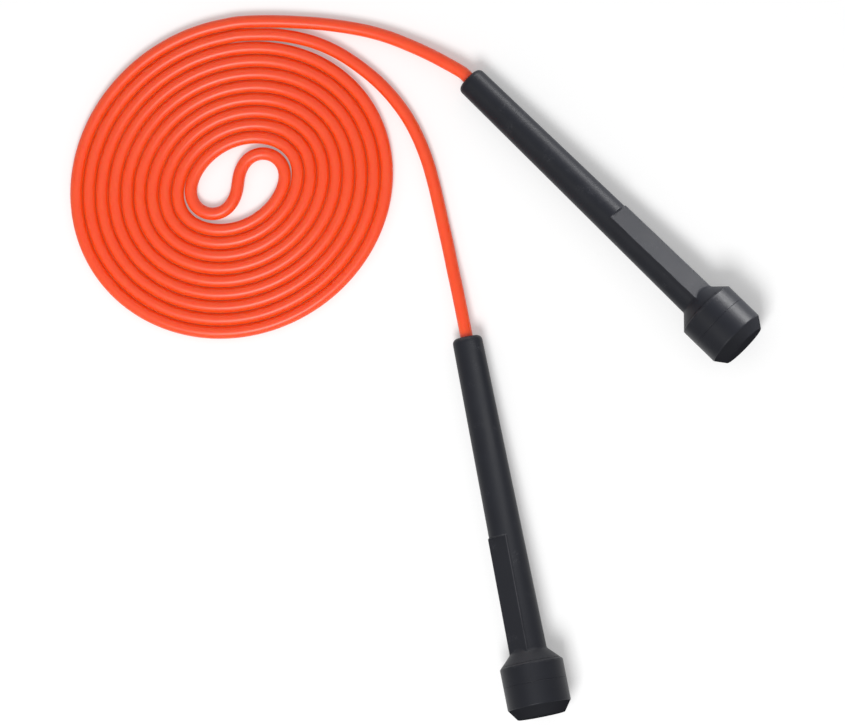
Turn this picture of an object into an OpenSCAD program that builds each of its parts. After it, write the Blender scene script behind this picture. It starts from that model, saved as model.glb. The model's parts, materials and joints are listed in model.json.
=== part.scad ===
// Jump rope laid out flat: one round plastic cord wound into a flat double spiral,
// with a hollow moulded handle running loose on each end of it.
// Millimetres, +Z up. The rope lies on the plane Z = 0, and the origin is on that plane,
// under the middle of the two handles' common box.

/* [Cord] */
// Diameter of the round cord
cord_d = 5.1; // [4:0.1:5.6]
// Free space between two turns that lie side by side
turn_gap = 0.02; // [0.02:0.02:1]

/* [Coil] */
// Centre of the coil, left and right
coil_x = -149.4; // [-200:0.1:-140]
// Centre of the coil, fore and aft
coil_y = 84.7; // [60:0.1:100]
// Mean radius at which the two arms of the spiral start
coil_start_r = 17.6; // [16:0.1:26]
// How far the coil is drawn out along its long direction
coil_stretch = 3.2; // [0:0.1:4]
// Heading of the coil's long direction, in degrees
coil_heading = 30.4; // [20:0.1:40]
// Heading of the cord where it crosses the coil's centre, in degrees
cross_heading = 85; // [75:1:95]
// Reach of the bend on the side of the coil's centre
cross_pull = 19; // [16:0.5:20]
// Reach of the bend on the side of the first turn
turn_pull = 16; // [14:0.5:17]

/* [Handle outline] */
// Length of the tapered shaft, from the tip to the flare
shaft_len = 128; // [110:1:150]
// Diameter of the shaft at the tip
tip_d = 12; // [11.5:0.1:14]
// Diameter of the shaft where the flare starts
shaft_end_d = 14.7; // [14:0.1:18]
// Rounding of the tip's outer edge
tip_round = 2.2; // [0.5:0.1:2.5]
// Length of the conical flare
flare_len = 5.5; // [4:0.5:10]
// Diameter of the knob
knob_d = 25.6; // [23:0.2:32]
// Length of the knob's front band, moulded in one with the shaft
front_band = 7.5; // [6:0.5:12]
// Length of the knob's rear band, on the end cap
rear_band = 9; // [6:0.5:14]
// Length of the chamfer at the knob's end
chamfer_len = 4.5; // [2:0.5:6]
// Diameter of the flat end face
end_face_d = 19.2; // [17:0.2:22]
// Bevel of both edges at the joint line between handle and cap
seam_bevel = 0.3; // [0.1:0.05:0.6]

/* [Flat pad] */
// Length of the flat pad, which ends at the flare
pad_len = 47; // [20:1:80]
// Width of the flat pad
pad_w = 10; // [6:0.2:10.6]
// How far the pad's edges stand out from the round shaft
pad_proud = 0.5; // [0.2:0.05:0.8]

/* [Inside the handles] */
// Length of the hole that guides the cord out of the tip
guide_len = 12; // [8:0.5:20]
// Radial clearance between the cord and that hole
guide_clear = 0.3; // [0.2:0.05:0.5]
// Width of the bevel at the hole's mouth
mouth_bevel = 0.6; // [0.2:0.1:1]
// Radial clearance between the ferrule and the hollow shaft
chamber_clear = 0.48; // [0.3:0.02:0.6]
// Diameter of the socket that takes the end cap
socket_d = 17.2; // [15:0.2:19]
// Depth of that socket
socket_depth = 8.5; // [7:0.5:10]
// Radial clearance between the cap's spigot and the socket
spigot_clear = 0.05; // [0.01:0.01:0.1]
// Space left under the spigot when the cap is home
spigot_gap = 0.5; // [0.3:0.1:1]
// Wall of the cap's hollow spigot
spigot_wall = 2; // [1.5:0.1:3]
// Thickness of the cap's end wall
cap_wall = 4; // [2:0.5:6]

/* [Cord stop] */
// Length of the crimped ferrule on each end of the cord
ferrule_len = 10; // [6:0.5:16]
// Wall of the ferrule
ferrule_wall = 1.2; // [0.8:0.1:1.4]
// Radial clearance between the crimped ferrule and the cord
crimp_clear = 0.02; // [0.01:0.01:0.05]
// Depth of the rings that the crimping tool leaves in the ferrule
crimp_depth = 0.4; // [0.1:0.1:0.5]
// Width of such a ring at its floor
crimp_w = 1.4; // [0.8:0.1:1.6]
// Thickness of the loose washer in front of the ferrule
washer_t = 1.2; // [0.8:0.1:2]
// Radial clearance between the washer and the cord
washer_bore_clear = 0.15; // [0.1:0.05:0.3]
// Radial clearance between the washer and the hollow shaft
washer_rim_clear = 0.2; // [0.1:0.05:0.3]
// Space between the washer and the shoulder that it lies against
washer_seat = 0.1; // [0.05:0.05:0.3]
// Space left between the ferrule and the cap's end wall
stop_gap = 0.5; // [0.3:0.1:1]

/* [Layout] */
// Tip of the upper handle, left and right
upper_x = -55.9; // [-60:0.1:-45]
// Tip of the upper handle, fore and aft
upper_y = 126.5; // [120:0.1:135]
// Heading of the upper handle, tip to knob, in degrees
upper_heading = -43.8; // [-46:0.1:-42]
// Turn of the upper handle about its own axis, in degrees
upper_roll = -45; // [-180:1:180]
// Tip of the lower handle, left and right
lower_x = -56.7; // [-60:0.1:-50]
// Tip of the lower handle, fore and aft
lower_y = 23.3; // [20:0.1:30]
// Heading of the lower handle, tip to knob, in degrees
lower_heading = -78.4; // [-80:0.1:-76]
// Turn of the lower handle about its own axis, in degrees
lower_roll = 37; // [-180:1:180]

/* [Hidden] */
$fn = 96;
eps = 0.01;

cord_colour = "#fb5a32";
handle_colour = "#34363b";
metal_colour = "#b9bcc0";

// Places along a handle's axis, counted from its tip
knob_start = shaft_len + flare_len;
seam = knob_start + front_band;
chamfer_start = seam + rear_band;
handle_len = chamfer_start + chamfer_len;
pad_start = shaft_len - pad_len;
flare_root = 0.6;
spigot_len = socket_depth - spigot_gap;
ferrule_back = handle_len - cap_wall - stop_gap;
ferrule_front = ferrule_back - ferrule_len;
washer_front = guide_len + washer_seat;
crimp_rings = 2;

// Diameters that follow from the cord and the clearances
guide_d = cord_d + 2 * guide_clear;
ferrule_bore = cord_d + 2 * crimp_clear;
ferrule_d = ferrule_bore + 2 * ferrule_wall;
chamber_d = ferrule_d + 2 * chamber_clear;
washer_d = chamber_d - 2 * washer_rim_clear;
washer_bore = cord_d + 2 * washer_bore_clear;
spigot_d = socket_d - 2 * spigot_clear;
cap_hollow_d = spigot_d - 2 * spigot_wall;

// A handle lies on its rounded tip and on the front edge of its knob
rest_run = knob_start - tip_round;
rest_rise = (knob_d - tip_d) / 2 + tip_round;
lie = atan2(rest_rise, rest_run) - asin(tip_round / norm([rest_run, rest_rise]));
tip_z = knob_d / 2 * cos(lie) - knob_start * sin(lie);
upper_tip = [upper_x, upper_y, tip_z];
lower_tip = [lower_x, lower_y, tip_z];

function shaft_r(s) = (tip_d + (shaft_end_d - tip_d) * s / shaft_len) / 2;
function pad_height(s) = sqrt(pow(shaft_r(s) + pad_proud, 2) - pow(pad_w / 2, 2));
function axis_dir(heading) = [cos(lie) * cos(heading), cos(lie) * sin(heading), sin(lie)];
function unit(v) = v / norm(v);

// The coil: two arms of parallel turns, half a turn apart, joined by an S through the centre.
// f counts the clockwise turn of an arm's outward side, in degrees.
pitch = cord_d + turn_gap;
arm_first = 20;
arm_step = 15;
upper_arm_steps = 112;
lower_arm_steps = 100;
arm_upper_last = arm_first + upper_arm_steps * arm_step;
arm_lower_last = arm_first + lower_arm_steps * arm_step;
bend_steps = 8;
coil_z = cord_d / 2;

function arm_reach(f) = coil_start_r + pitch * f / 180 + coil_stretch * cos(2 * (f + coil_heading));
function arm_drift(f) = pitch / PI - 2 * coil_stretch * sin(2 * (f + coil_heading));
function out_dir(f) = [cos(f), -sin(f)];
function run_dir(f) = [-sin(f), -cos(f)];
function arm_point(f) = arm_reach(f) * out_dir(f) + arm_drift(f) * run_dir(f);
function bezier(a, b, c, d, t) =
    pow(1 - t, 3) * a + 3 * pow(1 - t, 2) * t * b + 3 * (1 - t) * t * t * c + pow(t, 3) * d;
function bend_point(t) =
    let (first = arm_point(arm_first))
    bezier([0, 0], cross_pull * [cos(cross_heading), sin(cross_heading)],
           first - turn_pull * run_dir(arm_first), first, t);

half_bend = [for (i = [0 : bend_steps]) bend_point(i / bend_steps)];
upper_arm = [for (f = [arm_first + arm_step : arm_step : arm_upper_last]) arm_point(f)];
lower_arm = [for (f = [arm_lower_last : -arm_step : arm_first + arm_step]) -arm_point(f)];
upper_arm_end = arm_point(arm_upper_last) + cord_d * run_dir(arm_upper_last);
lower_arm_end = -arm_point(arm_lower_last) - cord_d * run_dir(arm_lower_last);
coil_plan = concat([lower_arm_end], lower_arm,
                   [for (i = [bend_steps : -1 : 1]) -half_bend[i]], half_bend,
                   upper_arm, [upper_arm_end]);
coil_path = [for (p = coil_plan) [coil_x + p.x, coil_y + p.y, coil_z]];

// Routes of the two free stretches, coil to handle: left-right, fore-aft, and the share
// of the climb from the ground to the handle's tip
upper_route = [[-142, 149.6, 0], [-133, 149.6, 0], [-124, 149.2, 0], [-115, 148.5, 0],
               [-106, 147.3, 0.02], [-97, 145.6, 0.07], [-88.5, 143.2, 0.18], [-80, 139.9, 0.36],
               [-72, 136.3, 0.57], [-65.4, 132.9, 0.77]];
lower_route = [[-141, 144.4, 0], [-133, 144.2, 0], [-124, 142.7, 0], [-116, 140.3, 0],
               [-108, 136.5, 0], [-100, 131.2, 0], [-92.5, 125, 0], [-86, 118, 0],
               [-80.5, 110.3, 0], [-76.2, 102, 0], [-72.9, 93.5, 0], [-70.4, 84.8, 0],
               [-68.3, 76, 0], [-66.3, 67.2, 0.03], [-64.3, 58.4, 0.12], [-62.4, 49.6, 0.34],
               [-60.4, 41, 0.66]];
straight_out = 0.7 * cord_d;

function lead_path(start, route, tip, heading) =
    concat([start],
           [for (p = route) [p[0], p[1], coil_z + p[2] * (tip.z - coil_z)]],
           [tip - straight_out * axis_dir(heading), tip]);
upper_lead = lead_path(coil_path[len(coil_path) - 1], upper_route, upper_tip, upper_heading);
lower_lead = lead_path(coil_path[0], lower_route, lower_tip, lower_heading);
upper_start_dir = concat(run_dir(arm_upper_last), 0);
lower_start_dir = concat(-run_dir(arm_lower_last), 0);

// Sections of the cord: the turns are slimmer than the cord across, so that they stay apart,
// and flat underneath. The free stretches are round.
form_gap = 0.48;
turn_w = pitch - form_gap;
turn_section = [for (k = [0 : 5]) [turn_w / 2 * cos(60 * k), cord_d / 2 * sin(60 * k) / sin(60)]];
lead_sides = 12;
lead_section = [for (k = [0 : lead_sides - 1])
    cord_d / 2 * [cos((k + 0.5) * 360 / lead_sides), sin((k + 0.5) * 360 / lead_sides)]];

// A tube swept along a path: one ring of the section at each point, square to the path
function path_dir(path, i, first, last) =
    i == 0 ? first
    : i == len(path) - 1 ? last
    : unit(unit(path[i + 1] - path[i]) + unit(path[i] - path[i - 1]));
function path_side(dir) = unit(cross([0, 0, 1], dir));
function ring(point, dir, section) =
    let (side = path_side(dir), up = cross(dir, side))
    [for (q = section) point + q.x * side + q.y * up];

module tube(path, section, first, last) {
    n = len(section);
    rings = len(path);
    points = [for (i = [0 : rings - 1]) each ring(path[i], path_dir(path, i, first, last), section)];
    walls = [for (i = [0 : rings - 2], k = [0 : n - 1])
        let (a = i * n + k, b = i * n + (k + 1) % n)
        each [[a, a + n, b], [b, a + n, b + n]]];
    top = (rings - 1) * n;
    near_end = [for (k = [1 : n - 2]) [0, k, k + 1]];
    far_end = [for (k = [1 : n - 2]) [top, top + k + 1, top + k]];
    polyhedron(points, concat(walls, near_end, far_end));
}

// Least gap between two turns, measured from the side points of every ring to the sides
// of the turns next to it
function to_segment(p, a, b) =
    let (d = b - a, t = max(0, min(1, ((p - a) * d) / (d * d))))
    norm(p - a - t * d);
function coil_dirs() =
    [for (i = [0 : len(coil_path) - 1])
        path_dir(coil_path, i, -lower_start_dir, upper_start_dir)];
function coil_edge(dirs, s) =
    [for (i = [0 : len(coil_path) - 1]) coil_path[i] + s * turn_w / 2 * path_side(dirs[i])];
near_rings = 5;
near_range = 6 * cord_d;
function least_gap() =
    let (dirs = coil_dirs(), left = coil_edge(dirs, 1), right = coil_edge(dirs, -1), n = len(left))
    min([for (i = [0 : n - 1], j = [0 : n - 2], edge = [left, right], from = [left, right])
        if (abs(i - j) > near_rings && norm(coil_path[i] - coil_path[j]) < near_range)
            to_segment(from[i], edge[j], edge[j + 1])]);

module cord_coil() {
    echo(least_gap_mm = least_gap());
    color(cord_colour) tube(coil_path, turn_section, -lower_start_dir, upper_start_dir);
}

module lead(path, first, heading) {
    color(cord_colour) tube(path, lead_section, first, axis_dir(heading));
}

// Stands a piece that is drawn along +Z, from the tip, on a handle's axis
module on_handle(tip, heading, roll = 0) {
    translate(tip) rotate([0, 90 - lie, heading]) rotate([0, 0, roll]) children();
}

module cord_tail() {
    color(cord_colour) cylinder(d = cord_d, h = ferrule_back);
}

module ferrule() {
    outer = ferrule_d / 2;
    waist = outer - crimp_depth;
    half = crimp_w / 2;
    ring_at = [for (k = [1 : crimp_rings]) ferrule_front + k * ferrule_len / (crimp_rings + 1)];
    rings = [for (z = ring_at) each [[outer, z - half - crimp_depth], [waist, z - half],
                                     [waist, z + half], [outer, z + half + crimp_depth]]];
    color(metal_colour) rotate_extrude() polygon(concat(
        [[ferrule_bore / 2, ferrule_front], [outer, ferrule_front]], rings,
        [[outer, ferrule_back], [ferrule_bore / 2, ferrule_back]]));
}

module washer() {
    color(metal_colour) translate([0, 0, washer_front]) difference() {
        cylinder(d = washer_d, h = washer_t);
        translate([0, 0, -eps]) cylinder(d = washer_bore, h = washer_t + 2 * eps);
    }
}

// The round outside of the shaft: a taper whose tip is rounded over
module shaft() {
    edge = tip_d / 2 - tip_round;
    rounding = [for (a = [0 : 15 : 90]) [edge + tip_round * sin(a), tip_round * (1 - cos(a))]];
    rotate_extrude() polygon(concat([[0, 0]], rounding, [[shaft_end_d / 2, shaft_len], [0, shaft_len]]));
}

// A slab across the pad's width, between two distances from the axis at either end of the pad
module pad_slab(from, to) {
    rotate([90, 0, 0]) linear_extrude(pad_w, center = true) polygon([
        [-from[0], pad_start], [-to[0], pad_start], [-to[1], shaft_len], [-from[1], shaft_len]]);
}

// The flare and the knob's front band. The flare runs on into the shaft at its own angle,
// so that it also closes the end of the pad
module front_knob() {
    slope = (knob_d - shaft_end_d) / 2 / flare_len;
    back = (shaft_end_d / 2 - pad_height(shaft_len) + flare_root) / slope;
    rotate_extrude() polygon([
        [0, shaft_len - back], [shaft_end_d / 2 - slope * back, shaft_len - back],
        [knob_d / 2, knob_start], [knob_d / 2, seam - seam_bevel],
        [knob_d / 2 - seam_bevel, seam], [0, seam]]);
}

module handle() {
    flat = [pad_height(pad_start), pad_height(shaft_len)];
    root = [for (s = [pad_start, shaft_len]) sqrt(pow(shaft_r(s), 2) - pow(pad_w / 2, 2)) - pad_proud];
    beyond = [for (h = flat) h + shaft_end_d];
    color(handle_colour) difference() {
        union() {
            difference() {
                shaft();
                pad_slab(flat, beyond);
            }
            pad_slab(root, flat);
            front_knob();
        }
        translate([0, 0, -eps]) cylinder(d = guide_d, h = guide_len + 2 * eps);
        translate([0, 0, -eps])
            cylinder(h = mouth_bevel + eps, r1 = guide_d / 2 + mouth_bevel + eps, r2 = guide_d / 2);
        translate([0, 0, guide_len]) cylinder(d = chamber_d, h = seam - guide_len);
        translate([0, 0, seam - socket_depth]) cylinder(d = socket_d, h = socket_depth + eps);
    }
}

module end_cap() {
    color(handle_colour) rotate_extrude() polygon([
        [cap_hollow_d / 2, seam - spigot_len], [spigot_d / 2, seam - spigot_len], [spigot_d / 2, seam],
        [knob_d / 2 - seam_bevel, seam], [knob_d / 2, seam + seam_bevel], [knob_d / 2, chamfer_start],
        [end_face_d / 2, handle_len], [0, handle_len], [0, handle_len - cap_wall],
        [cap_hollow_d / 2, handle_len - cap_wall]]);
}

cord_coil();
lead(upper_lead, upper_start_dir, upper_heading);  // cord_lead_upper
lead(lower_lead, lower_start_dir, lower_heading);  // cord_lead_lower
on_handle(upper_tip, upper_heading) cord_tail();  // cord_tail_upper
on_handle(lower_tip, lower_heading) cord_tail();  // cord_tail_lower
on_handle(upper_tip, upper_heading) ferrule();  // ferrule_upper
on_handle(lower_tip, lower_heading) ferrule();  // ferrule_lower
on_handle(upper_tip, upper_heading) washer();  // washer_upper
on_handle(lower_tip, lower_heading) washer();  // washer_lower
on_handle(upper_tip, upper_heading, upper_roll) handle();  // handle_upper
on_handle(lower_tip, lower_heading, lower_roll) handle();  // handle_lower
on_handle(upper_tip, upper_heading, upper_roll) end_cap();  // end_cap_upper
on_handle(lower_tip, lower_heading, lower_roll) end_cap();  // end_cap_lower
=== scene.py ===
# %% [markdown]
# A jump rope, laid out flat on a white table: one round orange cord wound into a flat double spiral,
# with a hollow black handle running loose on each end of it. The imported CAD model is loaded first.
# It holds the bodies and joints that everything here rides on, and it is never moved.

# %% Load the frame
import json
import math
import bmesh
import bpy
from mathutils import Matrix, Vector


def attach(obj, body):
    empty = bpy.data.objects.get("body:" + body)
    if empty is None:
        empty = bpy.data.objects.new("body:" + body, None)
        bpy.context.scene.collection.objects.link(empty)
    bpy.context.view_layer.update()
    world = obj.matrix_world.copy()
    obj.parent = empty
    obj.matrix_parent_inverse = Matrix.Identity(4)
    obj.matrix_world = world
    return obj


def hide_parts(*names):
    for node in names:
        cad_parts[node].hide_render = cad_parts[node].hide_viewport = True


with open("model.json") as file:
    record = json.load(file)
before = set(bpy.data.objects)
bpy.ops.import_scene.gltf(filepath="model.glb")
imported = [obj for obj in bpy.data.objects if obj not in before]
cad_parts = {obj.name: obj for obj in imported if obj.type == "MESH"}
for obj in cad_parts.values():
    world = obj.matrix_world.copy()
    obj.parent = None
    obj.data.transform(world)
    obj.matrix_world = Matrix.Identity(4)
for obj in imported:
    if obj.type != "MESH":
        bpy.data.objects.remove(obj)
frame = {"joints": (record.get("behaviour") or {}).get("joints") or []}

scene = bpy.context.scene
scene.view_settings.view_transform = "Standard"
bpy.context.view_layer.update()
MM = 0.001

# %% [markdown]
# Each handle spins about its own axis, so the spin joint already says where the handle is:
# its point is the handle's tip, and its axis runs from the tip to the knob. The flat pad that is
# pressed into the handle faces up and to one side, by a turn about that axis.

# %% Where the handles lie
SIDES = ("upper", "lower")
PAD_TURN = {"upper": math.radians(-45), "lower": math.radians(37)}
joints = {joint["name"]: joint for joint in frame["joints"]}
tips = {side: Vector(joints[f"{side}_spin"]["pos_m"]) for side in SIDES}
axes = {side: Vector(joints[f"{side}_spin"]["axis"]).normalized() for side in SIDES}


def handle_place(side):
    """The matrix that stands a piece, drawn along +Z with its pad towards +X, on a handle's axis."""
    along = axes[side]
    level = Vector((0, 0, 1)).cross(along).normalized()
    upward = along.cross(level)
    pad = math.cos(PAD_TURN[side]) * upward - math.sin(PAD_TURN[side]) * level
    across = along.cross(pad)
    place = Matrix((pad, across, along)).transposed().to_4x4()
    place.translation = tips[side]
    return place


for side in SIDES:
    start, way = [round(v, 4) for v in tips[side]], [round(v, 3) for v in axes[side]]
    print(side, "handle from", start, "along", way)

# %% [markdown]
# The camera looks almost straight down, tilted a few degrees so that the ends of the two knobs show.
# It stands far back with a long lens, because the picture has hardly any perspective. The frame is
# worked out from the width of table that the picture shows.

# %% Camera
PICTURE_WIDTH = 338 * MM
CAMERA_TILT = math.radians(7)
CAMERA_BACK = 6.0
PICTURE_CENTRE = Vector((-75.2, 13.1, 0)) * MM

camera_data = bpy.data.cameras.new("camera")
camera = bpy.data.objects.new("camera", camera_data)
scene.collection.objects.link(camera)
scene.camera = camera
camera_data.lens = camera_data.sensor_width * CAMERA_BACK / PICTURE_WIDTH
camera_data.clip_start, camera_data.clip_end = 0.1, 4 * CAMERA_BACK
back = Vector((math.sin(CAMERA_TILT), 0, math.cos(CAMERA_TILT)))
right = Vector((math.cos(CAMERA_TILT), 0, -math.sin(CAMERA_TILT)))
turn = Matrix((right, back.cross(right), back)).transposed().to_4x4()
camera.matrix_world = Matrix.Translation(PICTURE_CENTRE + CAMERA_BACK * back) @ turn
print("lens", round(camera_data.lens), "mm")

# %% [markdown]
# Geometry and finishes are both built from nodes here, so a few helpers come first. `add` makes one
# node and fills its inputs, where a value is set and a socket is linked. The others are short names
# for the nodes that are used most.

# %% Node helpers
def add(tree, kind, inputs=(), **settings):
    """A new node with its settings and inputs, where inputs is a list in order or a dict."""
    made = tree.nodes.new(kind)
    for name, value in settings.items():
        setattr(made, name, value)
    for key, value in inputs.items() if isinstance(inputs, dict) else enumerate(inputs):
        if isinstance(value, bpy.types.NodeSocket):
            tree.links.new(value, made.inputs[key])
        else:
            made.inputs[key].default_value = value
    return made


def calc(tree, operation, *values):
    return add(tree, "ShaderNodeMath", values, operation=operation).outputs[0]


def remap(tree, value, low, high, to_low, to_high, **settings):
    return add(tree, "ShaderNodeMapRange", [value, low, high, to_low, to_high], **settings).outputs[0]


def choose(tree, factor, first, second):
    """The first value where factor is 0, and the second where it is 1."""
    return add(tree, "ShaderNodeMix", {0: factor, 2: first, 3: second}, data_type="FLOAT").outputs[0]


def tint(tree, factor, first, second):
    """The first colour where factor is 0, and the second where it is 1."""
    return add(tree, "ShaderNodeMix", {0: factor, 6: first, 7: second}, data_type="RGBA").outputs[2]


def new_group(name, kind, inputs, outputs):
    """A node tree with named sockets, and its input and output nodes."""
    tree = bpy.data.node_groups.new(name, kind)
    for label, socket, value in inputs:
        made = tree.interface.new_socket(label, in_out="INPUT", socket_type=f"NodeSocket{socket}")
        if value is not None:
            made.default_value = value
    for label, socket in outputs:
        tree.interface.new_socket(label, in_out="OUTPUT", socket_type=f"NodeSocket{socket}")
    return tree, tree.nodes.new("NodeGroupInput").outputs, tree.nodes.new("NodeGroupOutput").inputs


# %% [markdown]
# Two effects are shared by the plastics and metals, so each is a group of its own. `fine_grain` is
# the even skin of a moulded or drawn surface: small bumps, with a larger cloudiness in the gloss.
# `rub_marks` are the pale, stretched smears that handling leaves, kept thin and rare.

# %% Shared surface effects
STREAKS_PER_PATCH = 9
PATCH_FULL = 0.8
STREAK_FROM, STREAK_FULL = 0.52, 0.7


def make_fine_grain():
    tree, given, result = new_group(
        "fine_grain", "ShaderNodeTree",
        [("Vector", "Vector", None), ("Grain", "Float", 0.4 * MM), ("Cloud", "Float", 8 * MM)],
        [("Height", "Float"), ("Clouds", "Float")])
    spot = given["Vector"]
    grain_scale = calc(tree, "DIVIDE", 1.0, given["Grain"])
    cloud_scale = calc(tree, "DIVIDE", 1.0, given["Cloud"])
    grain = add(tree, "ShaderNodeTexNoise", {"Vector": spot, "Scale": grain_scale, "Detail": 2.0})
    cloud = add(tree, "ShaderNodeTexNoise", {"Vector": spot, "Scale": cloud_scale, "Detail": 4.0})
    tree.links.new(grain.outputs[0], result["Height"])
    tree.links.new(cloud.outputs[0], result["Clouds"])
    return tree


def make_rub_marks():
    tree, given, result = new_group(
        "rub_marks", "ShaderNodeTree",
        [("Vector", "Vector", None), ("Length", "Float", 6 * MM), ("Rarity", "Float", 0.62)],
        [("Mask", "Float")])
    scale = calc(tree, "DIVIDE", 1.0, given["Length"])
    patches = add(tree, "ShaderNodeTexNoise", {"Vector": given["Vector"], "Scale": scale, "Detail": 1.0})
    fine = calc(tree, "MULTIPLY", scale, STREAKS_PER_PATCH)
    streaks = add(tree, "ShaderNodeTexNoise", {"Vector": given["Vector"], "Scale": fine, "Detail": 5.0,
                                               "Distortion": 1.5})
    where = remap(tree, patches.outputs[0], given["Rarity"], PATCH_FULL, 0.0, 1.0)
    what = remap(tree, streaks.outputs[0], STREAK_FROM, STREAK_FULL, 0.0, 1.0)
    tree.links.new(calc(tree, "MULTIPLY", where, what), result["Mask"])
    return tree


fine_grain = make_fine_grain()
rub_marks = make_rub_marks()
print("groups:", fine_grain.name, rub_marks.name)

# %% [markdown]
# Every material here is one Principled shader with a few nodes in front of it. A value that is the same
# all over the surface is set on the shader's own socket. Only what changes over the surface comes in
# through nodes, and fine relief comes in through a Bump node.

# %% Material helpers
def new_material(name, **values):
    """A material with a Principled shader whose plain values are set on its own sockets."""
    material = bpy.data.materials.new(name)
    material.use_nodes = True
    tree = material.node_tree
    shader = tree.nodes["Principled BSDF"]
    for label, value in values.items():
        shader.inputs[label.replace("_", " ")].default_value = value
    return material, tree, shader


def use_group(tree, group, **values):
    """The outputs of a shared effect, placed in a material with its own values."""
    return add(tree, "ShaderNodeGroup", values, node_tree=group).outputs


def bump(tree, shader, height, strength, distance):
    """Relief from a height between 0 and 1, which stands for the given distance."""
    made = add(tree, "ShaderNodeBump", {"Strength": strength, "Distance": distance, "Height": height})
    tree.links.new(made.outputs[0], shader.inputs["Normal"])


# %% [markdown]
# The cord is extruded plastic, soft and fairly glossy. Light goes a few millimetres into it, which the
# shader's subsurface part does. In the grooves between turns that touch, a paler orange is painted into the
# colour, as painted light that stands in for the light that comes through from both sides. What the eye
# picks up besides is a slightly uneven gloss and, very close, fine lines along the cord from the die. The
# cord's mesh carries three attributes for this: `along`, the way along the cord in metres, `around`, a
# point on its section's unit circle, and `groove`, which is 1 where the next turn touches and says where
# the painted light goes. The first two together make a pattern that follows every turn and has no seam.

# %% Cord plastic
CORD_D = 5.1 * MM
ORANGE_DEEP, ORANGE = (0.98, 0.07, 0.003, 1), (1.0, 0.084, 0.006, 1)
GROOVE_PAINTED_LIGHT_ORANGE = (1.0, 0.22, 0.06, 1)
CORD_GLOSS, CORD_CLOUDS, CORD_LINES = 0.24, 0.12, 0.1
DRAWN_OUT, GRAIN_SHARE = 0.02, 0.4


def make_cord_plastic():
    material, tree, shader = new_material(
        "orange_cord_plastic", Specular_IOR_Level=0.42, Subsurface_Weight=1.0,
        Subsurface_Scale=4 * MM, Subsurface_Radius=(1.0, 0.6, 0.4))
    along = add(tree, "ShaderNodeAttribute", attribute_name="along").outputs["Fac"]
    around = add(tree, "ShaderNodeAttribute", attribute_name="around").outputs["Vector"]
    section = add(tree, "ShaderNodeSeparateXYZ", [around]).outputs
    across = [calc(tree, "MULTIPLY", section[k], CORD_D / 2) for k in range(2)]
    skin = add(tree, "ShaderNodeCombineXYZ", [*across, along]).outputs[0]
    drawn_out = calc(tree, "MULTIPLY", along, DRAWN_OUT)
    drawn = add(tree, "ShaderNodeCombineXYZ", [*across, drawn_out]).outputs[0]
    grain = use_group(tree, fine_grain, Vector=skin, Grain=0.5 * MM, Cloud=25 * MM)
    lines = use_group(tree, fine_grain, Vector=drawn, Grain=0.25 * MM, Cloud=1.5 * MM)
    base = tint(tree, grain["Clouds"], ORANGE_DEEP, ORANGE)
    # painted light: a paler orange in the grooves where the next turn touches, in place of light that comes
    # through
    groove = add(tree, "ShaderNodeAttribute", attribute_name="groove").outputs["Fac"]
    base = tint(tree, groove, base, GROOVE_PAINTED_LIGHT_ORANGE)
    tree.links.new(base, shader.inputs["Base Color"])
    gloss = calc(tree, "ADD", calc(tree, "MULTIPLY", grain["Clouds"], CORD_CLOUDS),
                 calc(tree, "MULTIPLY", lines["Clouds"], CORD_LINES))
    tree.links.new(calc(tree, "ADD", gloss, CORD_GLOSS), shader.inputs["Roughness"])
    height = calc(tree, "ADD", lines["Height"], calc(tree, "MULTIPLY", grain["Height"], GRAIN_SHARE))
    bump(tree, shader, height, 0.25, 0.02 * MM)
    return material


cord_plastic = make_cord_plastic()
print("material:", cord_plastic.name)

# %% [markdown]
# The cord's line. The flat coil is a double spiral: two arms of parallel turns, half a turn apart,
# joined by an S through the middle, as a rope lies when it is wound up from its centre. Its turns come
# from a formula, the same one as in the CAD source, where `f` counts an arm's clockwise turn in
# degrees. Its radius grows evenly, and a small stretch makes the coil a little longer one way than the
# other, as the real one lies.

# %% Coil
TURN_GAP = 0.02 * MM
PITCH = CORD_D + TURN_GAP
COIL_CENTRE = Vector((-149.4, 84.7)) * MM
COIL_START_R = 17.6 * MM
COIL_STRETCH = 3.2 * MM
COIL_HEADING = 30.4
CROSS_HEADING = math.radians(85)
CROSS_PULL = 19 * MM
TURN_PULL = 16 * MM
ARM_FIRST, ARM_STEP = 20, 5
UPPER_ARM_STEPS, LOWER_ARM_STEPS = 336, 300
BEND_STEPS = 20


def run_dir(f):
    """The way an arm's turn leads on."""
    angle = math.radians(f)
    return Vector((-math.sin(angle), -math.cos(angle)))


def arm_point(f):
    """A point on an arm, from the coil's centre."""
    angle, doubled = math.radians(f), math.radians(2 * (f + COIL_HEADING))
    reach = COIL_START_R + PITCH * f / 180 + COIL_STRETCH * math.cos(doubled)
    drift = PITCH / math.pi - 2 * COIL_STRETCH * math.sin(doubled)
    return reach * Vector((math.cos(angle), -math.sin(angle))) + drift * run_dir(f)


def bend_point(t):
    """A point on half of the S, from the coil's centre to the start of an arm."""
    end = arm_point(ARM_FIRST)
    first_pull = CROSS_PULL * Vector((math.cos(CROSS_HEADING), math.sin(CROSS_HEADING)))
    last_pull = end - TURN_PULL * run_dir(ARM_FIRST)
    return 3 * (1 - t) ** 2 * t * first_pull + 3 * (1 - t) * t * t * last_pull + t ** 3 * end


def arm(steps):
    """From the coil's centre out to the end of an arm, which then runs straight for one diameter."""
    last = ARM_FIRST + steps * ARM_STEP
    half_bend = [bend_point(k / BEND_STEPS) for k in range(1, BEND_STEPS + 1)]
    turns = [arm_point(f) for f in range(ARM_FIRST + ARM_STEP, last + 1, ARM_STEP)]
    return half_bend + turns + [turns[-1] + CORD_D * run_dir(last)]


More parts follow.
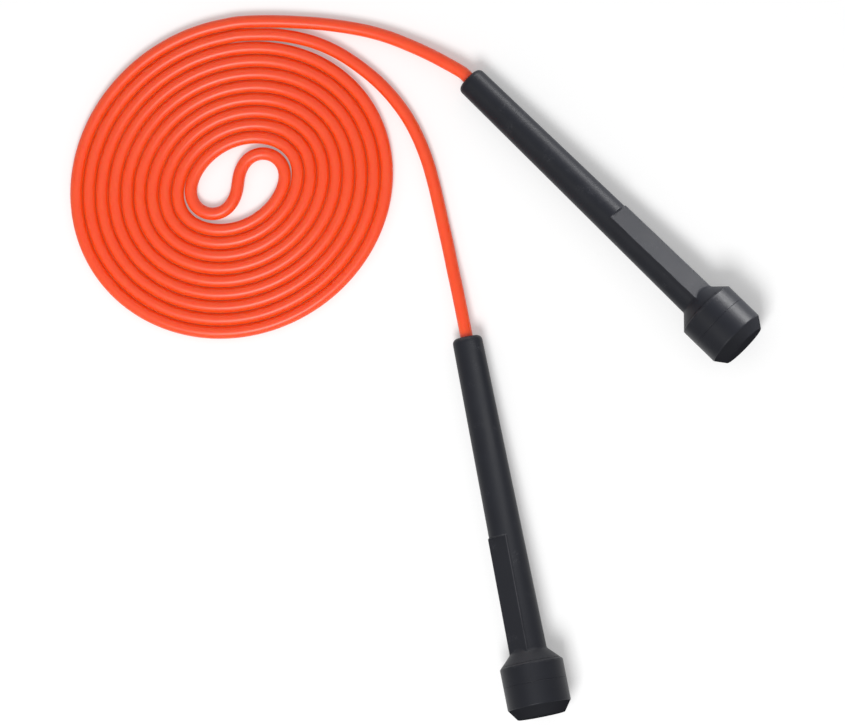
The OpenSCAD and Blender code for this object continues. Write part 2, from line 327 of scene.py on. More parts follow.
lower_half = [-point for point in reversed(arm(LOWER_ARM_STEPS))]
coil_plan = lower_half + [Vector((0, 0))] + arm(UPPER_ARM_STEPS)
coil_line = [(COIL_CENTRE + point).to_3d() + Vector((0, 0, CORD_D / 2)) for point in coil_plan]
print("coil of", len(coil_line), "points")

# %% [markdown]
# A loose stretch of cord has no formula, so the two that leave the coil go through given points,
# in millimetres. The third number of a point is its share of the climb from the table to the handle's
# tip. Before the tip the cord comes into line with the handle, because it could not turn freely
# otherwise, and then it runs straight through the handle to the crimped ferrule.

# %% Free stretches and tails
UPPER_ROUTE = [(-142, 149.6, 0), (-133, 149.6, 0), (-124, 149.2, 0), (-115, 148.5, 0),
               (-106, 147.3, 0.02), (-97, 145.6, 0.07), (-88.5, 143.2, 0.18), (-80, 139.9, 0.36),
               (-72, 136.3, 0.57), (-65.4, 132.9, 0.77)]
LOWER_ROUTE = [(-141, 144.4, 0), (-133, 144.2, 0), (-124, 142.7, 0), (-116, 140.3, 0),
               (-108, 136.5, 0), (-100, 131.2, 0), (-92.5, 125, 0), (-86, 118, 0),
               (-80.5, 110.3, 0), (-76.2, 102, 0), (-72.9, 93.5, 0), (-70.4, 84.8, 0),
               (-68.3, 76, 0), (-66.3, 67.2, 0.03), (-64.3, 58.4, 0.12), (-62.4, 49.6, 0.34),
               (-60.4, 41, 0.66)]
STRAIGHT_OUT = 0.7 * CORD_D
TAIL_LEN = 150 * MM
TAIL_STEP = 5 * MM


def stretch(route, side):
    """From the coil to the end of the cord inside a handle."""
    tip, along = tips[side], axes[side]
    climb = tip.z - CORD_D / 2
    free = [Vector((x * MM, y * MM, CORD_D / 2 + share * climb)) for x, y, share in route]
    tail = [tip + along * TAIL_STEP * k for k in range(round(TAIL_LEN / TAIL_STEP) + 1)]
    return free + [tip - STRAIGHT_OUT * along] + tail


cord_line = [*reversed(stretch(LOWER_ROUTE, "lower")), *coil_line, *stretch(UPPER_ROUTE, "upper")]
print("cord of", len(cord_line), "points")

# %% [markdown]
# A tube that follows a line is a job for Geometry Nodes. The tree takes the line's points as a mesh of
# edges, turns it into a smooth curve through them, spaces it evenly and sweeps a circle along it.
# Two of the attributes for the finish are stored before the sweep, which carries them over to the tube.
# The third, the mask for the painted light in the grooves, needs the tube: from each of its points a short
# ray is sent straight out, and where it meets the next turn at once, the point lies in a groove.

# %% A tree that sweeps the cord
CORD_SIDES = 24
GROOVE_W = 1.9 * MM
RAY_START = 0.004 * MM


def store(tree, geometry, name, value, kind="FLOAT"):
    """The geometry with a named attribute stored on its points."""
    return add(tree, "GeometryNodeStoreNamedAttribute",
               {"Geometry": geometry, "Name": name, "Value": value},
               data_type=kind, domain="POINT").outputs[0]


def finished(tree, geometry, material):
    """The last nodes of a tree: smooth shading, real geometry and the material."""
    smooth = add(tree, "GeometryNodeSetShadeSmooth", {"Geometry": geometry}).outputs[0]
    real = add(tree, "GeometryNodeRealizeInstances", {"Geometry": smooth}).outputs[0]
    return add(tree, "GeometryNodeSetMaterial", {"Geometry": real, "Material": material}).outputs[0]


def make_cord_tree():
    tree, given, result = new_group(
        "swept_cord", "GeometryNodeTree",
        [("Line", "Geometry", None), ("Diameter", "Float", CORD_D), ("Sides", "Int", CORD_SIDES),
         ("Ring spacing", "Float", 1.25 * MM), ("Material", "Material", None)],
        [("Cord", "Geometry")])
    curve = add(tree, "GeometryNodeMeshToCurve", {"Mesh": given["Line"]}).outputs[0]
    curve = add(tree, "GeometryNodeCurveSplineType", {"Curve": curve}, spline_type="CATMULL_ROM").outputs[0]
    curve = add(tree, "GeometryNodeResampleCurve", {"Curve": curve, "Length": given["Ring spacing"]},
                mode="LENGTH").outputs[0]
    along = add(tree, "GeometryNodeSplineParameter").outputs["Length"]
    curve = store(tree, curve, "along", along)
    radius = calc(tree, "MULTIPLY", given["Diameter"], 0.5)
    circle = add(tree, "GeometryNodeCurvePrimitiveCircle",
                 {"Resolution": given["Sides"], "Radius": radius}).outputs[0]
    spot = add(tree, "GeometryNodeInputPosition").outputs[0]
    around = add(tree, "ShaderNodeVectorMath", {0: spot}, operation="NORMALIZE").outputs[0]
    circle = store(tree, circle, "around", around, kind="FLOAT_VECTOR")
    tube = add(tree, "GeometryNodeCurveToMesh",
               {"Curve": curve, "Profile Curve": circle, "Fill Caps": True}).outputs[0]
    facing = add(tree, "GeometryNodeInputNormal").outputs[0]
    skin = add(tree, "ShaderNodeVectorMath", {0: facing, 1: (RAY_START,) * 3, 2: spot},
               operation="MULTIPLY_ADD").outputs[0]
    ray = add(tree, "GeometryNodeRaycast", {"Target Geometry": tube, "Source Position": skin,
                                            "Ray Direction": facing, "Ray Length": GROOVE_W}).outputs
    near = remap(tree, ray["Hit Distance"], 0.0, GROOVE_W, 1.0, 0.0)
    groove = calc(tree, "MULTIPLY", near, ray["Is Hit"])
    # the groove mask, which says where the cord's material paints light into the grooves
    tube = store(tree, tube, "groove", groove)
    tube = finished(tree, tube, given["Material"])
    tree.links.new(tube, result["Cord"])
    return tree


# %% [markdown]
# A tree's result exists only while its modifier is evaluated, and what rides on a body is a plain mesh.
# So the tree runs on a helper object, the result is copied into a mesh, and the helper is deleted.
# The faces of that mesh are then made to look outwards.

# %% From a tree to a plain mesh
def shape_by_nodes(name, points, tree, **values):
    """Runs a node tree on a chain of points and returns the result as a plain mesh object."""
    chain = bpy.data.meshes.new(f"{name}_points")
    edges = [(k, k + 1) for k in range(len(points) - 1)]
    chain.from_pydata(points, edges, [])
    source = bpy.data.objects.new(f"{name}_source", chain)
    scene.collection.objects.link(source)
    modifier = source.modifiers.new("shape", "NODES")
    modifier.node_group = tree
    wanted = {label.replace("_", " "): value for label, value in values.items()}
    for socket in tree.interface.items_tree:
        if socket.in_out == "INPUT" and socket.name in wanted:
            modifier[socket.identifier] = wanted[socket.name]
    graph = bpy.context.evaluated_depsgraph_get()
    mesh = bpy.data.meshes.new_from_object(source.evaluated_get(graph), preserve_all_data_layers=True,
                                           depsgraph=graph)
    bpy.data.objects.remove(source)
    bpy.data.meshes.remove(chain)
    mesh.name = name
    piece = bpy.data.objects.new(name, mesh)
    scene.collection.objects.link(piece)
    return piece


def face_outwards(piece):
    """Turns all faces of a closed piece outwards."""
    shell = bmesh.new()
    shell.from_mesh(piece.data)
    bmesh.ops.recalc_face_normals(shell, faces=shell.faces)
    shell.to_mesh(piece.data)
    shell.free()
    piece.data.update()


# %% [markdown]
# Now the tree runs on the cord's line. The middles of its rings are the path that the finished cord
# really follows.

# %% The cord
cord = shape_by_nodes("cord", cord_line, make_cord_tree(), Diameter=CORD_D, Sides=CORD_SIDES,
                      Material=cord_plastic)
face_outwards(cord)
in_groove = sum(value.value > 0.5 for value in cord.data.attributes["groove"].data)
print(in_groove, "of", len(cord.data.vertices), "points lie in a groove")

# %% [markdown]
# The handles are moulded in black plastic with a fine satin skin. It is close to black, a little blue,
# and its gloss changes slowly over the surface. The chamfer and the end face come out of the mould
# rougher than the rest, so they get a matt version of the same plastic. Wear shows as a few pale rub
# marks and as a scuffed line on the knob's front edge, and a pale line is painted along the edges of the
# flat pad as a painted highlight. The handle's mesh carries three attributes that say where these are:
# `station`, the way along its axis from the tip in metres, `crest`, which is 1 on the pad's edges where
# the highlight is painted, and `pad`, which is 1 on the pad itself.

# %% Handle plastic
SHAFT_LEN, FLARE_LEN = 128 * MM, 5.5 * MM
KNOB_START = SHAFT_LEN + FLARE_LEN
SEAM = KNOB_START + 7.5 * MM
CHAMFER_START = SEAM + 9 * MM
HANDLE_LEN = CHAMFER_START + 4.5 * MM
SATIN_BLACKS = (0.0035, 0.004, 0.0068, 1), (0.006, 0.007, 0.011, 1)
MATT_BLACKS = (0.0125, 0.013, 0.0155, 1), (0.0185, 0.019, 0.022, 1)
RUB_AND_PAINTED_HIGHLIGHT_GREY = (0.12, 0.12, 0.13, 1)
RUB_SHARE, SCUFF_SHARE, SCUFF_W = 0.3, 0.7, 0.9 * MM
GLOSS_STEP = 0.2 * MM
GLOSS_CLOUDS, GLOSS_GRAIN, PAD_DULLER = 0.12, 0.06, 0.12


def make_handle_plastic(name, blacks, specular, shaft_gloss, knob_gloss):
    """Black moulded plastic between two blacks, with its roughness on the shaft and on the knob."""
    material, tree, shader = new_material(name, Specular_IOR_Level=specular)
    spot = add(tree, "ShaderNodeTexCoord").outputs["Object"]
    station = add(tree, "ShaderNodeAttribute", attribute_name="station").outputs["Fac"]
    crest = add(tree, "ShaderNodeAttribute", attribute_name="crest").outputs["Fac"]
    on_pad = add(tree, "ShaderNodeAttribute", attribute_name="pad").outputs["Fac"]
    grain = use_group(tree, fine_grain, Vector=spot, Grain=0.45 * MM, Cloud=9 * MM)
    rubs = use_group(tree, rub_marks, Vector=spot, Length=7 * MM, Rarity=0.6)
    scuffs = use_group(tree, rub_marks, Vector=spot, Length=2.5 * MM, Rarity=0.42)
    from_edge = calc(tree, "ABSOLUTE", calc(tree, "SUBTRACT", station, KNOB_START))
    on_edge = remap(tree, from_edge, 0.0, SCUFF_W, SCUFF_SHARE, 0.0)
    worn = calc(tree, "MAXIMUM", calc(tree, "MULTIPLY", rubs["Mask"], RUB_SHARE),
                calc(tree, "MULTIPLY", scuffs["Mask"], on_edge))
    # painted highlight: a pale line along the pad's edges, mixed in with the real rub marks and scuffs
    uneven = remap(tree, grain["Clouds"], 0.35, 0.65, 0.1, 0.3)
    worn = calc(tree, "MAXIMUM", worn, calc(tree, "MULTIPLY", crest, uneven))
    base = tint(tree, grain["Clouds"], *blacks)
    base = tint(tree, worn, base, RUB_AND_PAINTED_HIGHLIGHT_GREY)
    tree.links.new(base, shader.inputs["Base Color"])
    gloss = remap(tree, station, KNOB_START - GLOSS_STEP, KNOB_START + GLOSS_STEP, shaft_gloss, knob_gloss)
    gloss = calc(tree, "MULTIPLY_ADD", grain["Clouds"], GLOSS_CLOUDS, gloss)
    gloss = calc(tree, "MULTIPLY_ADD", grain["Height"], GLOSS_GRAIN, gloss)
    gloss = calc(tree, "MULTIPLY_ADD", on_pad, PAD_DULLER, gloss)
    tree.links.new(gloss, shader.inputs["Roughness"])
    bump(tree, shader, grain["Height"], 0.25, 0.03 * MM)
    return material


handle_plastic = make_handle_plastic("black_moulded_plastic", SATIN_BLACKS,
                                     specular=0.2, shaft_gloss=0.36, knob_gloss=0.32)
end_plastic = make_handle_plastic("black_end_face", MATT_BLACKS,
                                  specular=0.0, shaft_gloss=0.62, knob_gloss=0.62)
print("materials:", handle_plastic.name, end_plastic.name)

# %% [markdown]
# Two small metal pieces sit inside each handle, and show only when its cap is off. Both finishes are one
# recipe with other values: a metallic shader whose colour and gloss are a little cloudy, as a bare or
# plated surface is after handling, with a fine grain as its relief.

# %% Metals inside the handles
DULLED = 0.75


def make_metal(name, colour, roughness, grain_size):
    """Bare metal with a cloudy gloss, where roughness is that of its clearest spots."""
    material, tree, shader = new_material(name, Metallic=1.0)
    spot = add(tree, "ShaderNodeTexCoord").outputs["Object"]
    grain = use_group(tree, fine_grain, Vector=spot, Grain=grain_size, Cloud=3 * MM)
    worn = [DULLED * part for part in colour]
    tree.links.new(tint(tree, grain["Clouds"], (*worn, 1), (*colour, 1)), shader.inputs["Base Color"])
    gloss = calc(tree, "MULTIPLY_ADD", grain["Clouds"], 0.2, roughness)
    tree.links.new(gloss, shader.inputs["Roughness"])
    bump(tree, shader, grain["Height"], 0.15, 0.02 * MM)
    return material


ferrule_metal = make_metal("crimped_aluminium", (0.72, 0.73, 0.75), 0.25, 0.3 * MM)
washer_metal = make_metal("zinc_plated_steel", (0.6, 0.61, 0.63), 0.2, 0.2 * MM)
print("materials:", ferrule_metal.name, washer_metal.name)

# %% [markdown]
# Handles, end caps, ferrules and washers are all round, so one tree turns each of them on a lathe.
# It is given an outline as a chain of points, with the radius in X and the way along the axis in Z.
# A grid is laid over it, one column for each step of the turn, and every point of the grid is placed by
# its column's angle and its row's outline point. Merging the doubles closes the seam and the poles.

# %% A grid for turned pieces
COLUMNS = 144


def lathe_grid(tree, given):
    """A grid over the outline's turn: the mesh, and each point's radius, station and turn."""
    count = add(tree, "GeometryNodeAttributeDomainSize", [given["Outline"]]).outputs["Point Count"]
    rows = calc(tree, "ADD", count, given["Closed"])
    grid = add(tree, "GeometryNodeMeshGrid",
               {"Vertices X": calc(tree, "ADD", given["Columns"], 1.0), "Vertices Y": rows}).outputs[0]
    index = add(tree, "GeometryNodeInputIndex").outputs[0]
    column = calc(tree, "FLOOR", calc(tree, "DIVIDE", calc(tree, "ADD", index, 0.5), rows))
    row = calc(tree, "SUBTRACT", index, calc(tree, "MULTIPLY", column, rows))
    spot = add(tree, "GeometryNodeInputPosition").outputs[0]
    outline = add(tree, "GeometryNodeSampleIndex",
                  {"Geometry": given["Outline"], "Value": spot, "Index": calc(tree, "MODULO", row, count)},
                  data_type="FLOAT_VECTOR", domain="POINT").outputs[0]
    parts = add(tree, "ShaderNodeSeparateXYZ", [outline]).outputs
    share = calc(tree, "DIVIDE", column, given["Columns"])
    return grid, parts[0], parts[2], remap(tree, share, 0.0, 1.0, -math.pi, math.pi)


# %% [markdown]
# Each handle also has a flat pad. It stands a little proud of the round shaft at its long edges and is
# sunk below it in the middle, and it runs into the flare of the knob. Cutting it out afterwards would
# leave ragged edges, so the lathe's tree presses it in: its columns are first shifted until some of them
# run along the pad's edges, and then each point takes the radius of the pad, the shaft or the flare.

# %% The flat pad
TIP_R, SHAFT_END_R, KNOB_R, END_FACE_R = 6 * MM, 7.35 * MM, 12.8 * MM, 9.6 * MM
PAD_START, PAD_W, PAD_PROUD = SHAFT_LEN - 47 * MM, 10 * MM, 0.5 * MM
PAD_BEVEL = 0.35 * MM
EDGE_COLUMN, ROOT_COLUMN = 16, 18


def press_pad(tree, radius, station, turn):
    """A handle point's radius and turn with the pad pressed in at turn 0, its crest mask, where a highlight
    is painted along the pad's edges, and its pad mask.
    """
    half = PAD_W / 2
    shaft = remap(tree, station, 0.0, SHAFT_LEN, TIP_R, SHAFT_END_R, clamp=False)
    crest = calc(tree, "ADD", shaft, PAD_PROUD)
    edge = calc(tree, "ARCSINE", calc(tree, "DIVIDE", half, crest))
    root = calc(tree, "ARCSINE", calc(tree, "DIVIDE", half, shaft))
    even_edge, even_root = (2 * math.pi * k / COLUMNS for k in (EDGE_COLUMN, ROOT_COLUMN))
    even = calc(tree, "ABSOLUTE", turn)
    on_flat = remap(tree, even, 0.0, even_edge, 0.0, edge)
    on_side = remap(tree, even, even_edge, even_root, 0.0, calc(tree, "SUBTRACT", root, edge))
    on_round = remap(tree, even, even_root, math.pi, 0.0, calc(tree, "SUBTRACT", math.pi, root))
    angle = calc(tree, "ADD", calc(tree, "ADD", on_flat, on_side), on_round)
    rise = calc(tree, "SUBTRACT", calc(tree, "POWER", crest, 2.0), half ** 2)
    flat = calc(tree, "DIVIDE", calc(tree, "SQRT", rise), calc(tree, "COSINE", on_flat))
    side = calc(tree, "DIVIDE", half, calc(tree, "SINE", calc(tree, "MINIMUM", angle, math.pi / 2)))
    beside = calc(tree, "MAXIMUM", shaft, side)
    padded = choose(tree, calc(tree, "LESS_THAN", angle, edge), beside, flat)
    flare = remap(tree, station, SHAFT_LEN, KNOB_START, SHAFT_END_R, KNOB_R, clamp=False)
    padded = calc(tree, "SMOOTH_MAX", padded, flare, 2 * PAD_BEVEL)
    begun = remap(tree, station, PAD_START - PAD_BEVEL, PAD_START + PAD_BEVEL, 0.0, 1.0,
                  interpolation_type="SMOOTHSTEP")
    before_knob = calc(tree, "LESS_THAN", station, KNOB_START)
    outside = calc(tree, "GREATER_THAN", radius, PAD_W / 2)
    pressed = calc(tree, "MULTIPLY", begun, calc(tree, "MULTIPLY", before_knob, outside))
    signed = calc(tree, "MULTIPLY", calc(tree, "SIGN", turn), angle)
    # the crest mask: where a highlight is painted along the pad's side edges and its start edge
    from_side = calc(tree, "MULTIPLY", calc(tree, "ABSOLUTE", calc(tree, "SUBTRACT", angle, edge)), shaft)
    before_flare = remap(tree, station, SHAFT_LEN - PAD_BEVEL, SHAFT_LEN + PAD_BEVEL, 1.0, 0.0)
    shown = calc(tree, "MULTIPLY", pressed, before_flare)
    on_side = calc(tree, "MULTIPLY", remap(tree, from_side, 0.0, PAD_BEVEL, 1.0, 0.0), shown)
    from_start = calc(tree, "ABSOLUTE", calc(tree, "SUBTRACT", station, PAD_START))
    on_start = calc(tree, "MULTIPLY", remap(tree, from_start, 0.0, PAD_BEVEL, 1.0, 0.0),
                    calc(tree, "MULTIPLY", outside, calc(tree, "LESS_THAN", angle, root)))
    crest = calc(tree, "MAXIMUM", on_side, on_start)
    on_pad = calc(tree, "MULTIPLY", shown, calc(tree, "LESS_THAN", angle, edge))
    return choose(tree, pressed, radius, padded), signed, crest, on_pad


# %% [markdown]
# The whole tree: the grid, the pad where it is wanted, the attributes for the finish, and the two
# materials, the second of which starts at a given station.

# %% A tree that turns round pieces
JOIN_WITHIN = 0.002 * MM


def make_lathe_tree(name, with_pad):
    tree, given, result = new_group(
        name, "GeometryNodeTree",
        [("Outline", "Geometry", None), ("Columns", "Int", COLUMNS), ("Closed", "Int", 1),
         ("Material", "Material", None), ("End material", "Material", None), ("End from", "Float", 1.0)],
        [("Piece", "Geometry")])
    grid, radius, station, turn = lathe_grid(tree, given)
    crest, pad = 0.0, 0.0
    if with_pad:
        radius, turn, crest, pad = press_pad(tree, radius, station, turn)
    x = calc(tree, "MULTIPLY", radius, calc(tree, "COSINE", turn))
    y = calc(tree, "MULTIPLY", radius, calc(tree, "SINE", turn))
    place = add(tree, "ShaderNodeCombineXYZ", [x, y, station]).outputs[0]
    piece = add(tree, "GeometryNodeSetPosition", {"Geometry": grid, "Position": place}).outputs[0]
    for label, value in (("crest", crest), ("pad", pad), ("station", station)):
        piece = store(tree, piece, label, value)
    joined = {"Geometry": piece, "Distance": JOIN_WITHIN}
    piece = add(tree, "GeometryNodeMergeByDistance", joined).outputs[0]
    piece = finished(tree, piece, given["Material"])
    stored = add(tree, "GeometryNodeInputNamedAttribute", {"Name": "station"}, data_type="FLOAT").outputs[0]
    at_end = calc(tree, "GREATER_THAN", stored, given["End from"])
    piece = add(tree, "GeometryNodeSetMaterial",
                {"Geometry": piece, "Selection": at_end, "Material": given["End material"]}).outputs[0]
    tree.links.new(piece, result["Piece"])
    return tree


lathe = make_lathe_tree("turned_piece", False)
handle_lathe = make_lathe_tree("turned_handle", True)
print("trees:", lathe.name, handle_lathe.name)

# %% [markdown]
# An outline is written as its corners, each with the radius of its rounding, because a moulded edge is
# never perfectly sharp and the small rounding is what catches the light. `rounded` puts an arc at each
# corner, and `filled` adds rows along the straight runs, two of them close to the arcs so that smooth
# shading stays flat in between.

# %% Outlines
ARC_STEP = math.radians(15)
HOLD = 0.25 * MM
EDGE, SOFT_EDGE, SEAM_EDGE = 0.5 * MM, 1.2 * MM, 0.15 * MM


def rounded(corners, closed):
    """The outline through corners (radius, station, rounding), as a list of runs between arc points."""
    arcs = []
    for k, (r, s, rounding) in enumerate(corners):
        here = Vector((r, s))
        ends = not closed and k in (0, len(corners) - 1)
        if ends or not rounding:
            arcs.append([here])
            continue
        before = (Vector(corners[k - 1][:2]) - here).normalized()
        after = (Vector(corners[(k + 1) % len(corners)][:2]) - here).normalized()
        opening = before.angle(after)
        reach = rounding / math.tan(opening / 2)
        centre = here + (before + after).normalized() * rounding / math.sin(opening / 2)
        start, stop = here + before * reach - centre, here + after * reach - centre
        steps = max(2, math.ceil((math.pi - opening) / ARC_STEP))
        arcs.append([centre + start.slerp(stop, i / steps) * rounding for i in range(steps + 1)])
    return arcs


def filled(arcs, closed, step):
    """The arcs joined by straight runs with rows no further apart than step."""
    line = []
    for k, arc in enumerate(arcs):
        line += arc
        if k + 1 == len(arcs) and not closed:
            break
        start, stop = arc[-1], arcs[(k + 1) % len(arcs)][0]
        length = (stop - start).length
        if length > 4 * HOLD:
            count = math.ceil(length / step)
            inner = [i * length / count for i in range(1, count)]
            stations = [HOLD, *[d for d in inner if HOLD < d < length - HOLD], length - HOLD]
            line += [start.lerp(stop, d / length) for d in stations]
    return line


def turned(name, corners, tree, material, side, closed=True, step=3 * MM, extra=(), end=None):
    """A round piece on a handle's axis, from its outline's corners and any extra rows.

    Past the chamfer's front edge it takes the material `end`, where one is given.
    """
    line = filled(rounded(corners, closed), closed, step)
    for row in extra:
        at = next(k for k in range(len(line)) if line[k].y <= row < line[k + 1].y)
        share = (row - line[at].y) / (line[at + 1].y - line[at].y)
        line.insert(at + 1, line[at].lerp(line[at + 1], share))
    points = [(p.x, 0, p.y) for p in line]
    piece = shape_by_nodes(name, points, tree, Closed=int(closed), Material=material,
                           End_material=end or material, End_from=CHAMFER_START + EDGE)
    piece.data.transform(handle_place(side))
    face_outwards(piece)
    return piece


# %% [markdown]
# The handle is a hollow shell, and its outline is closed: out from the hole that guides the cord, round
# the tip, along the taper, up the flare and over the knob's front band, then back through the socket for
# the end cap and the long hollow in which the ferrule slides.

# %% Handles
GUIDE_R, GUIDE_LEN, MOUTH = 2.85 * MM, 12 * MM, 0.6 * MM
CHAMBER_R = 4.25 * MM
SOCKET_R, SOCKET_DEPTH = 8.6 * MM, 8.5 * MM
TIP_ROUND = 2.2 * MM

HANDLE_OUTLINE = [
    (GUIDE_R + MOUTH, 0, EDGE), (TIP_R, 0, TIP_ROUND), (SHAFT_END_R, SHAFT_LEN, SOFT_EDGE),
    (KNOB_R, KNOB_START, EDGE), (KNOB_R, SEAM, SEAM_EDGE), (SOCKET_R, SEAM, SEAM_EDGE),
    (SOCKET_R, SEAM - SOCKET_DEPTH, 0), (CHAMBER_R, SEAM - SOCKET_DEPTH, SEAM_EDGE),
    (CHAMBER_R, GUIDE_LEN, 0), (GUIDE_R, GUIDE_LEN, SEAM_EDGE), (GUIDE_R, MOUTH, EDGE)]
PAD_ROWS = [PAD_START + PAD_BEVEL * k / 4 for k in range(-5, 6)]
FLARE_ROWS = [SHAFT_LEN - PAD_BEVEL * k for k in range(8, 2, -1)]

handle_pieces = {side: [] for side in SIDES}
for side in SIDES:
    piece = turned(f"handle_grip_{side}", HANDLE_OUTLINE, handle_lathe, handle_plastic, side,
                   step=1.5 * MM, extra=PAD_ROWS + FLARE_ROWS)
    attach(piece, f"grip_{side}")
    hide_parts(f"handle_{side}")
    handle_pieces[side].append(piece)
    print(piece.name, len(piece.data.polygons), "faces")

# %% [markdown]
# The end cap closes the knob. Its hollow spigot sits in the handle's socket, so only the rear band,
# the chamfer and the flat end face show, with a fine groove where it meets the handle.

# %% End caps
CAP_HOLLOW_R, SPIGOT_R = 6.55 * MM, 8.55 * MM
SPIGOT_START, CAP_FLOOR = SEAM - 8 * MM, HANDLE_LEN - 4 * MM

CAP_OUTLINE = [
    (0, CAP_FLOOR, 0), (CAP_HOLLOW_R, CAP_FLOOR, SEAM_EDGE), (CAP_HOLLOW_R, SPIGOT_START, SEAM_EDGE),
    (SPIGOT_R, SPIGOT_START, SEAM_EDGE), (SPIGOT_R, SEAM, 0), (KNOB_R, SEAM, SEAM_EDGE),
    (KNOB_R, CHAMFER_START, EDGE), (END_FACE_R, HANDLE_LEN, EDGE), (0, HANDLE_LEN, 0)]

for side in SIDES:
    piece = turned(f"knob_cap_{side}", CAP_OUTLINE, lathe, handle_plastic, side,
                   closed=False, end=end_plastic)
    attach(piece, f"cap_{side}")
    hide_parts(f"end_cap_{side}")
    handle_pieces[side].append(piece)
    print(piece.name, len(piece.data.polygons), "faces")

# %% [markdown]
# Inside, a ferrule is crimped on each end of the cord, with two rings from the crimping tool, and a loose
# washer lies in front of it, against the shoulder behind the guide hole. They show when the cap is off.

# %% Ferrules and washers
FERRULE_FRONT, FERRULE_LEN = 140 * MM, 10 * MM
FERRULE_BORE_R, FERRULE_R = 2.57 * MM, 3.77 * MM
CRIMP_DEPTH, CRIMP_W, CRIMP_RINGS = 0.4 * MM, 1.4 * MM, 2
WASHER_FRONT, WASHER_T = 12.1 * MM, 1.2 * MM
WASHER_BORE_R, WASHER_R = 2.7 * MM, 4.05 * MM
METAL_EDGE = 0.15 * MM


def crimp_ring(station):
    """The outline's corners at one ring of the crimping tool."""
    half, waist = CRIMP_W / 2, FERRULE_R - CRIMP_DEPTH
    return [(FERRULE_R, station - half - CRIMP_DEPTH, METAL_EDGE), (waist, station - half, METAL_EDGE),
            (waist, station + half, METAL_EDGE), (FERRULE_R, station + half + CRIMP_DEPTH, METAL_EDGE)]


crimps = [corner for k in range(1, CRIMP_RINGS + 1)
          for corner in crimp_ring(FERRULE_FRONT + FERRULE_LEN * k / (CRIMP_RINGS + 1))]
FERRULE_OUTLINE = [
    (FERRULE_BORE_R, FERRULE_FRONT, METAL_EDGE), (FERRULE_R, FERRULE_FRONT, METAL_EDGE), *crimps,
    (FERRULE_R, FERRULE_FRONT + FERRULE_LEN, METAL_EDGE),
    (FERRULE_BORE_R, FERRULE_FRONT + FERRULE_LEN, METAL_EDGE)]
WASHER_OUTLINE = [
    (WASHER_BORE_R, WASHER_FRONT, METAL_EDGE), (WASHER_R, WASHER_FRONT, METAL_EDGE),
    (WASHER_R, WASHER_FRONT + WASHER_T, METAL_EDGE), (WASHER_BORE_R, WASHER_FRONT + WASHER_T, METAL_EDGE)]

for side in SIDES:
    ferrule = turned(f"crimped_ferrule_{side}", FERRULE_OUTLINE, lathe, ferrule_metal, side)
    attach(ferrule, "rope")
    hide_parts(f"ferrule_{side}")
    washer = turned(f"stop_washer_{side}", WASHER_OUTLINE, lathe, washer_metal, side)
    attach(washer, f"washer_{side}")
    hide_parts(f"washer_{side}")
    print(ferrule.name, washer.name)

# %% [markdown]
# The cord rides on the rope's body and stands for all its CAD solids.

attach(cord, "rope")
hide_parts("cord_coil", *[f"cord_{part}_{side}" for part in ("lead", "tail") for side in SIDES])

# %% [markdown]
# The table is a plain white sheet. The camera, and rays from shiny surfaces, see it with a little light
# of its own added, so that it comes out white while the soft shadow under the rope stays. Seen from
# below it is clear.

# %% Floor
FLOOR_HALF = 15.0
FLOOR_WHITE, FLOOR_GLOW = 0.75, 0.25
FLOOR_CORNERS = [(x * FLOOR_HALF, y * FLOOR_HALF, 0) for x, y in ((-1, -1), (1, -1), (1, 1), (-1, 1))]


def seen_rays(tree):
    """The light path's outputs, and a mask of the rays from the camera, from gloss and through glass."""
    rays = add(tree, "ShaderNodeLightPath").outputs
    indirect = calc(tree, "MAXIMUM", rays["Is Glossy Ray"], rays["Is Transmission Ray"])
    return rays, calc(tree, "MAXIMUM", rays["Is Camera Ray"], indirect)


def make_floor():
    mesh = bpy.data.meshes.new("floor")
    mesh.from_pydata(FLOOR_CORNERS, [], [(0, 1, 2, 3)])
    floor = bpy.data.objects.new("floor", mesh)
    scene.collection.objects.link(floor)
    material, tree, shader = new_material(
        "white_table", Base_Color=(FLOOR_WHITE, FLOOR_WHITE, FLOOR_WHITE, 1), Roughness=0.9,
        Specular_IOR_Level=0.1, Emission_Color=(1, 1, 1, 1))
    rays, seen = seen_rays(tree)
    tree.links.new(calc(tree, "MULTIPLY", seen, FLOOR_GLOW), shader.inputs["Emission Strength"])
    under = calc(tree, "MULTIPLY", add(tree, "ShaderNodeNewGeometry").outputs["Backfacing"],
                 rays["Is Camera Ray"])
    clear = add(tree, "ShaderNodeBsdfTransparent").outputs[0]
    shown = add(tree, "ShaderNodeMixShader", [under, shader.outputs[0], clear]).outputs[0]
    tree.links.new(shown, tree.nodes["Material Output"].inputs["Surface"])
    mesh.materials.append(material)
    print("floor", 2 * FLOOR_HALF, "m square")


make_floor()

# %% [markdown]
# The light is a pale world for an even fill and one large soft box, high in front, which draws the
# streak along every turn of the cord. A black handle shows hardly more than what it mirrors, and the two
# handles lie at different angles. So each has soft boxes of its own, kept to it by light linking. The
# upper one has a low strip beside it for the long highlight on its flank, and a small box for the one on
# its knob. The lower one has a faint strip along its shaft, for the flare, and a small box over its tip.

# %% World and lamps
WORLD_FILL = 0.5


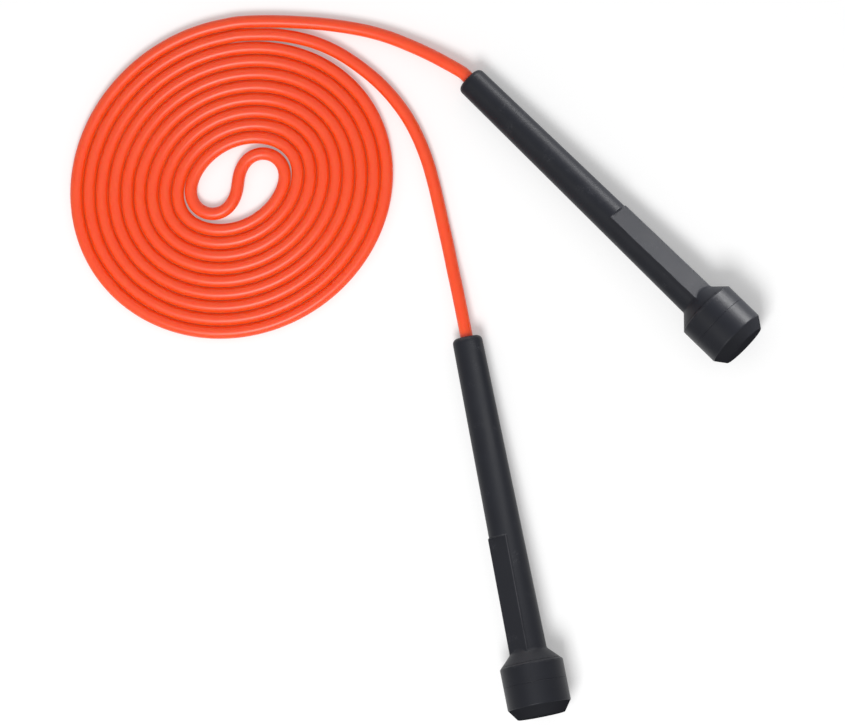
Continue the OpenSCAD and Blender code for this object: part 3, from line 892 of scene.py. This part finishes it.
def make_world():
    world = bpy.data.worlds.new("studio")
    scene.world = world
    world.use_nodes = True
    tree = world.node_tree
    seen = seen_rays(tree)[1]
    background = tree.nodes["Background"]
    background.inputs["Color"].default_value = (1, 1, 1, 1)
    tree.links.new(choose(tree, seen, WORLD_FILL, 1.0), background.inputs["Strength"])


def soft_box(name, target, azimuth, elevation, distance, size, brightness, lit=()):
    """A lamp of the given width and height that looks at a point.

    It stands at a distance in metres, in a direction given in degrees. Where pieces are given in `lit`,
    it lights only these.
    """
    data = bpy.data.lights.new(name, "AREA")
    data.shape = "RECTANGLE"
    data.size, data.size_y = size
    data.energy = brightness * math.pi * size[0] * size[1]
    lamp = bpy.data.objects.new(name, data)
    scene.collection.objects.link(lamp)
    a, e = math.radians(azimuth), math.radians(elevation)
    towards = Vector((math.cos(a) * math.cos(e), math.sin(a) * math.cos(e), math.sin(e)))
    turn = towards.to_track_quat("Z", "Y").to_matrix().to_4x4()
    lamp.matrix_world = Matrix.Translation(target + distance * towards) @ turn
    lamp.visible_camera = False
    if lit:
        receivers = bpy.data.collections.new(f"{name}_receivers")
        for piece in lit:
            receivers.objects.link(piece)
        lamp.light_linking.receiver_collection = receivers
    print(name, [round(v, 2) for v in lamp.location])


def on_handle(side, station):
    """The point on a handle's axis at a station from its tip."""
    return tips[side] + station * axes[side]


make_world()
soft_box("front_box", PICTURE_CENTRE, azimuth=268, elevation=60, distance=1.6,
         size=(0.64, 0.64), brightness=14)
soft_box("upper_strip", on_handle("upper", 0.11), azimuth=58, elevation=9, distance=0.5,
         size=(0.8, 0.17), brightness=13, lit=handle_pieces["upper"])
soft_box("knob_box", on_handle("upper", 0.142), azimuth=50, elevation=6, distance=0.12,
         size=(0.12, 0.07), brightness=9, lit=handle_pieces["upper"])
soft_box("lower_strip", on_handle("lower", 0.131), azimuth=97, elevation=9, distance=0.5,
         size=(0.6, 0.17), brightness=4, lit=handle_pieces["lower"])
soft_box("lower_box", on_handle("lower", 0.03), azimuth=25, elevation=59, distance=0.22,
         size=(0.08, 0.2), brightness=5, lit=handle_pieces["lower"])
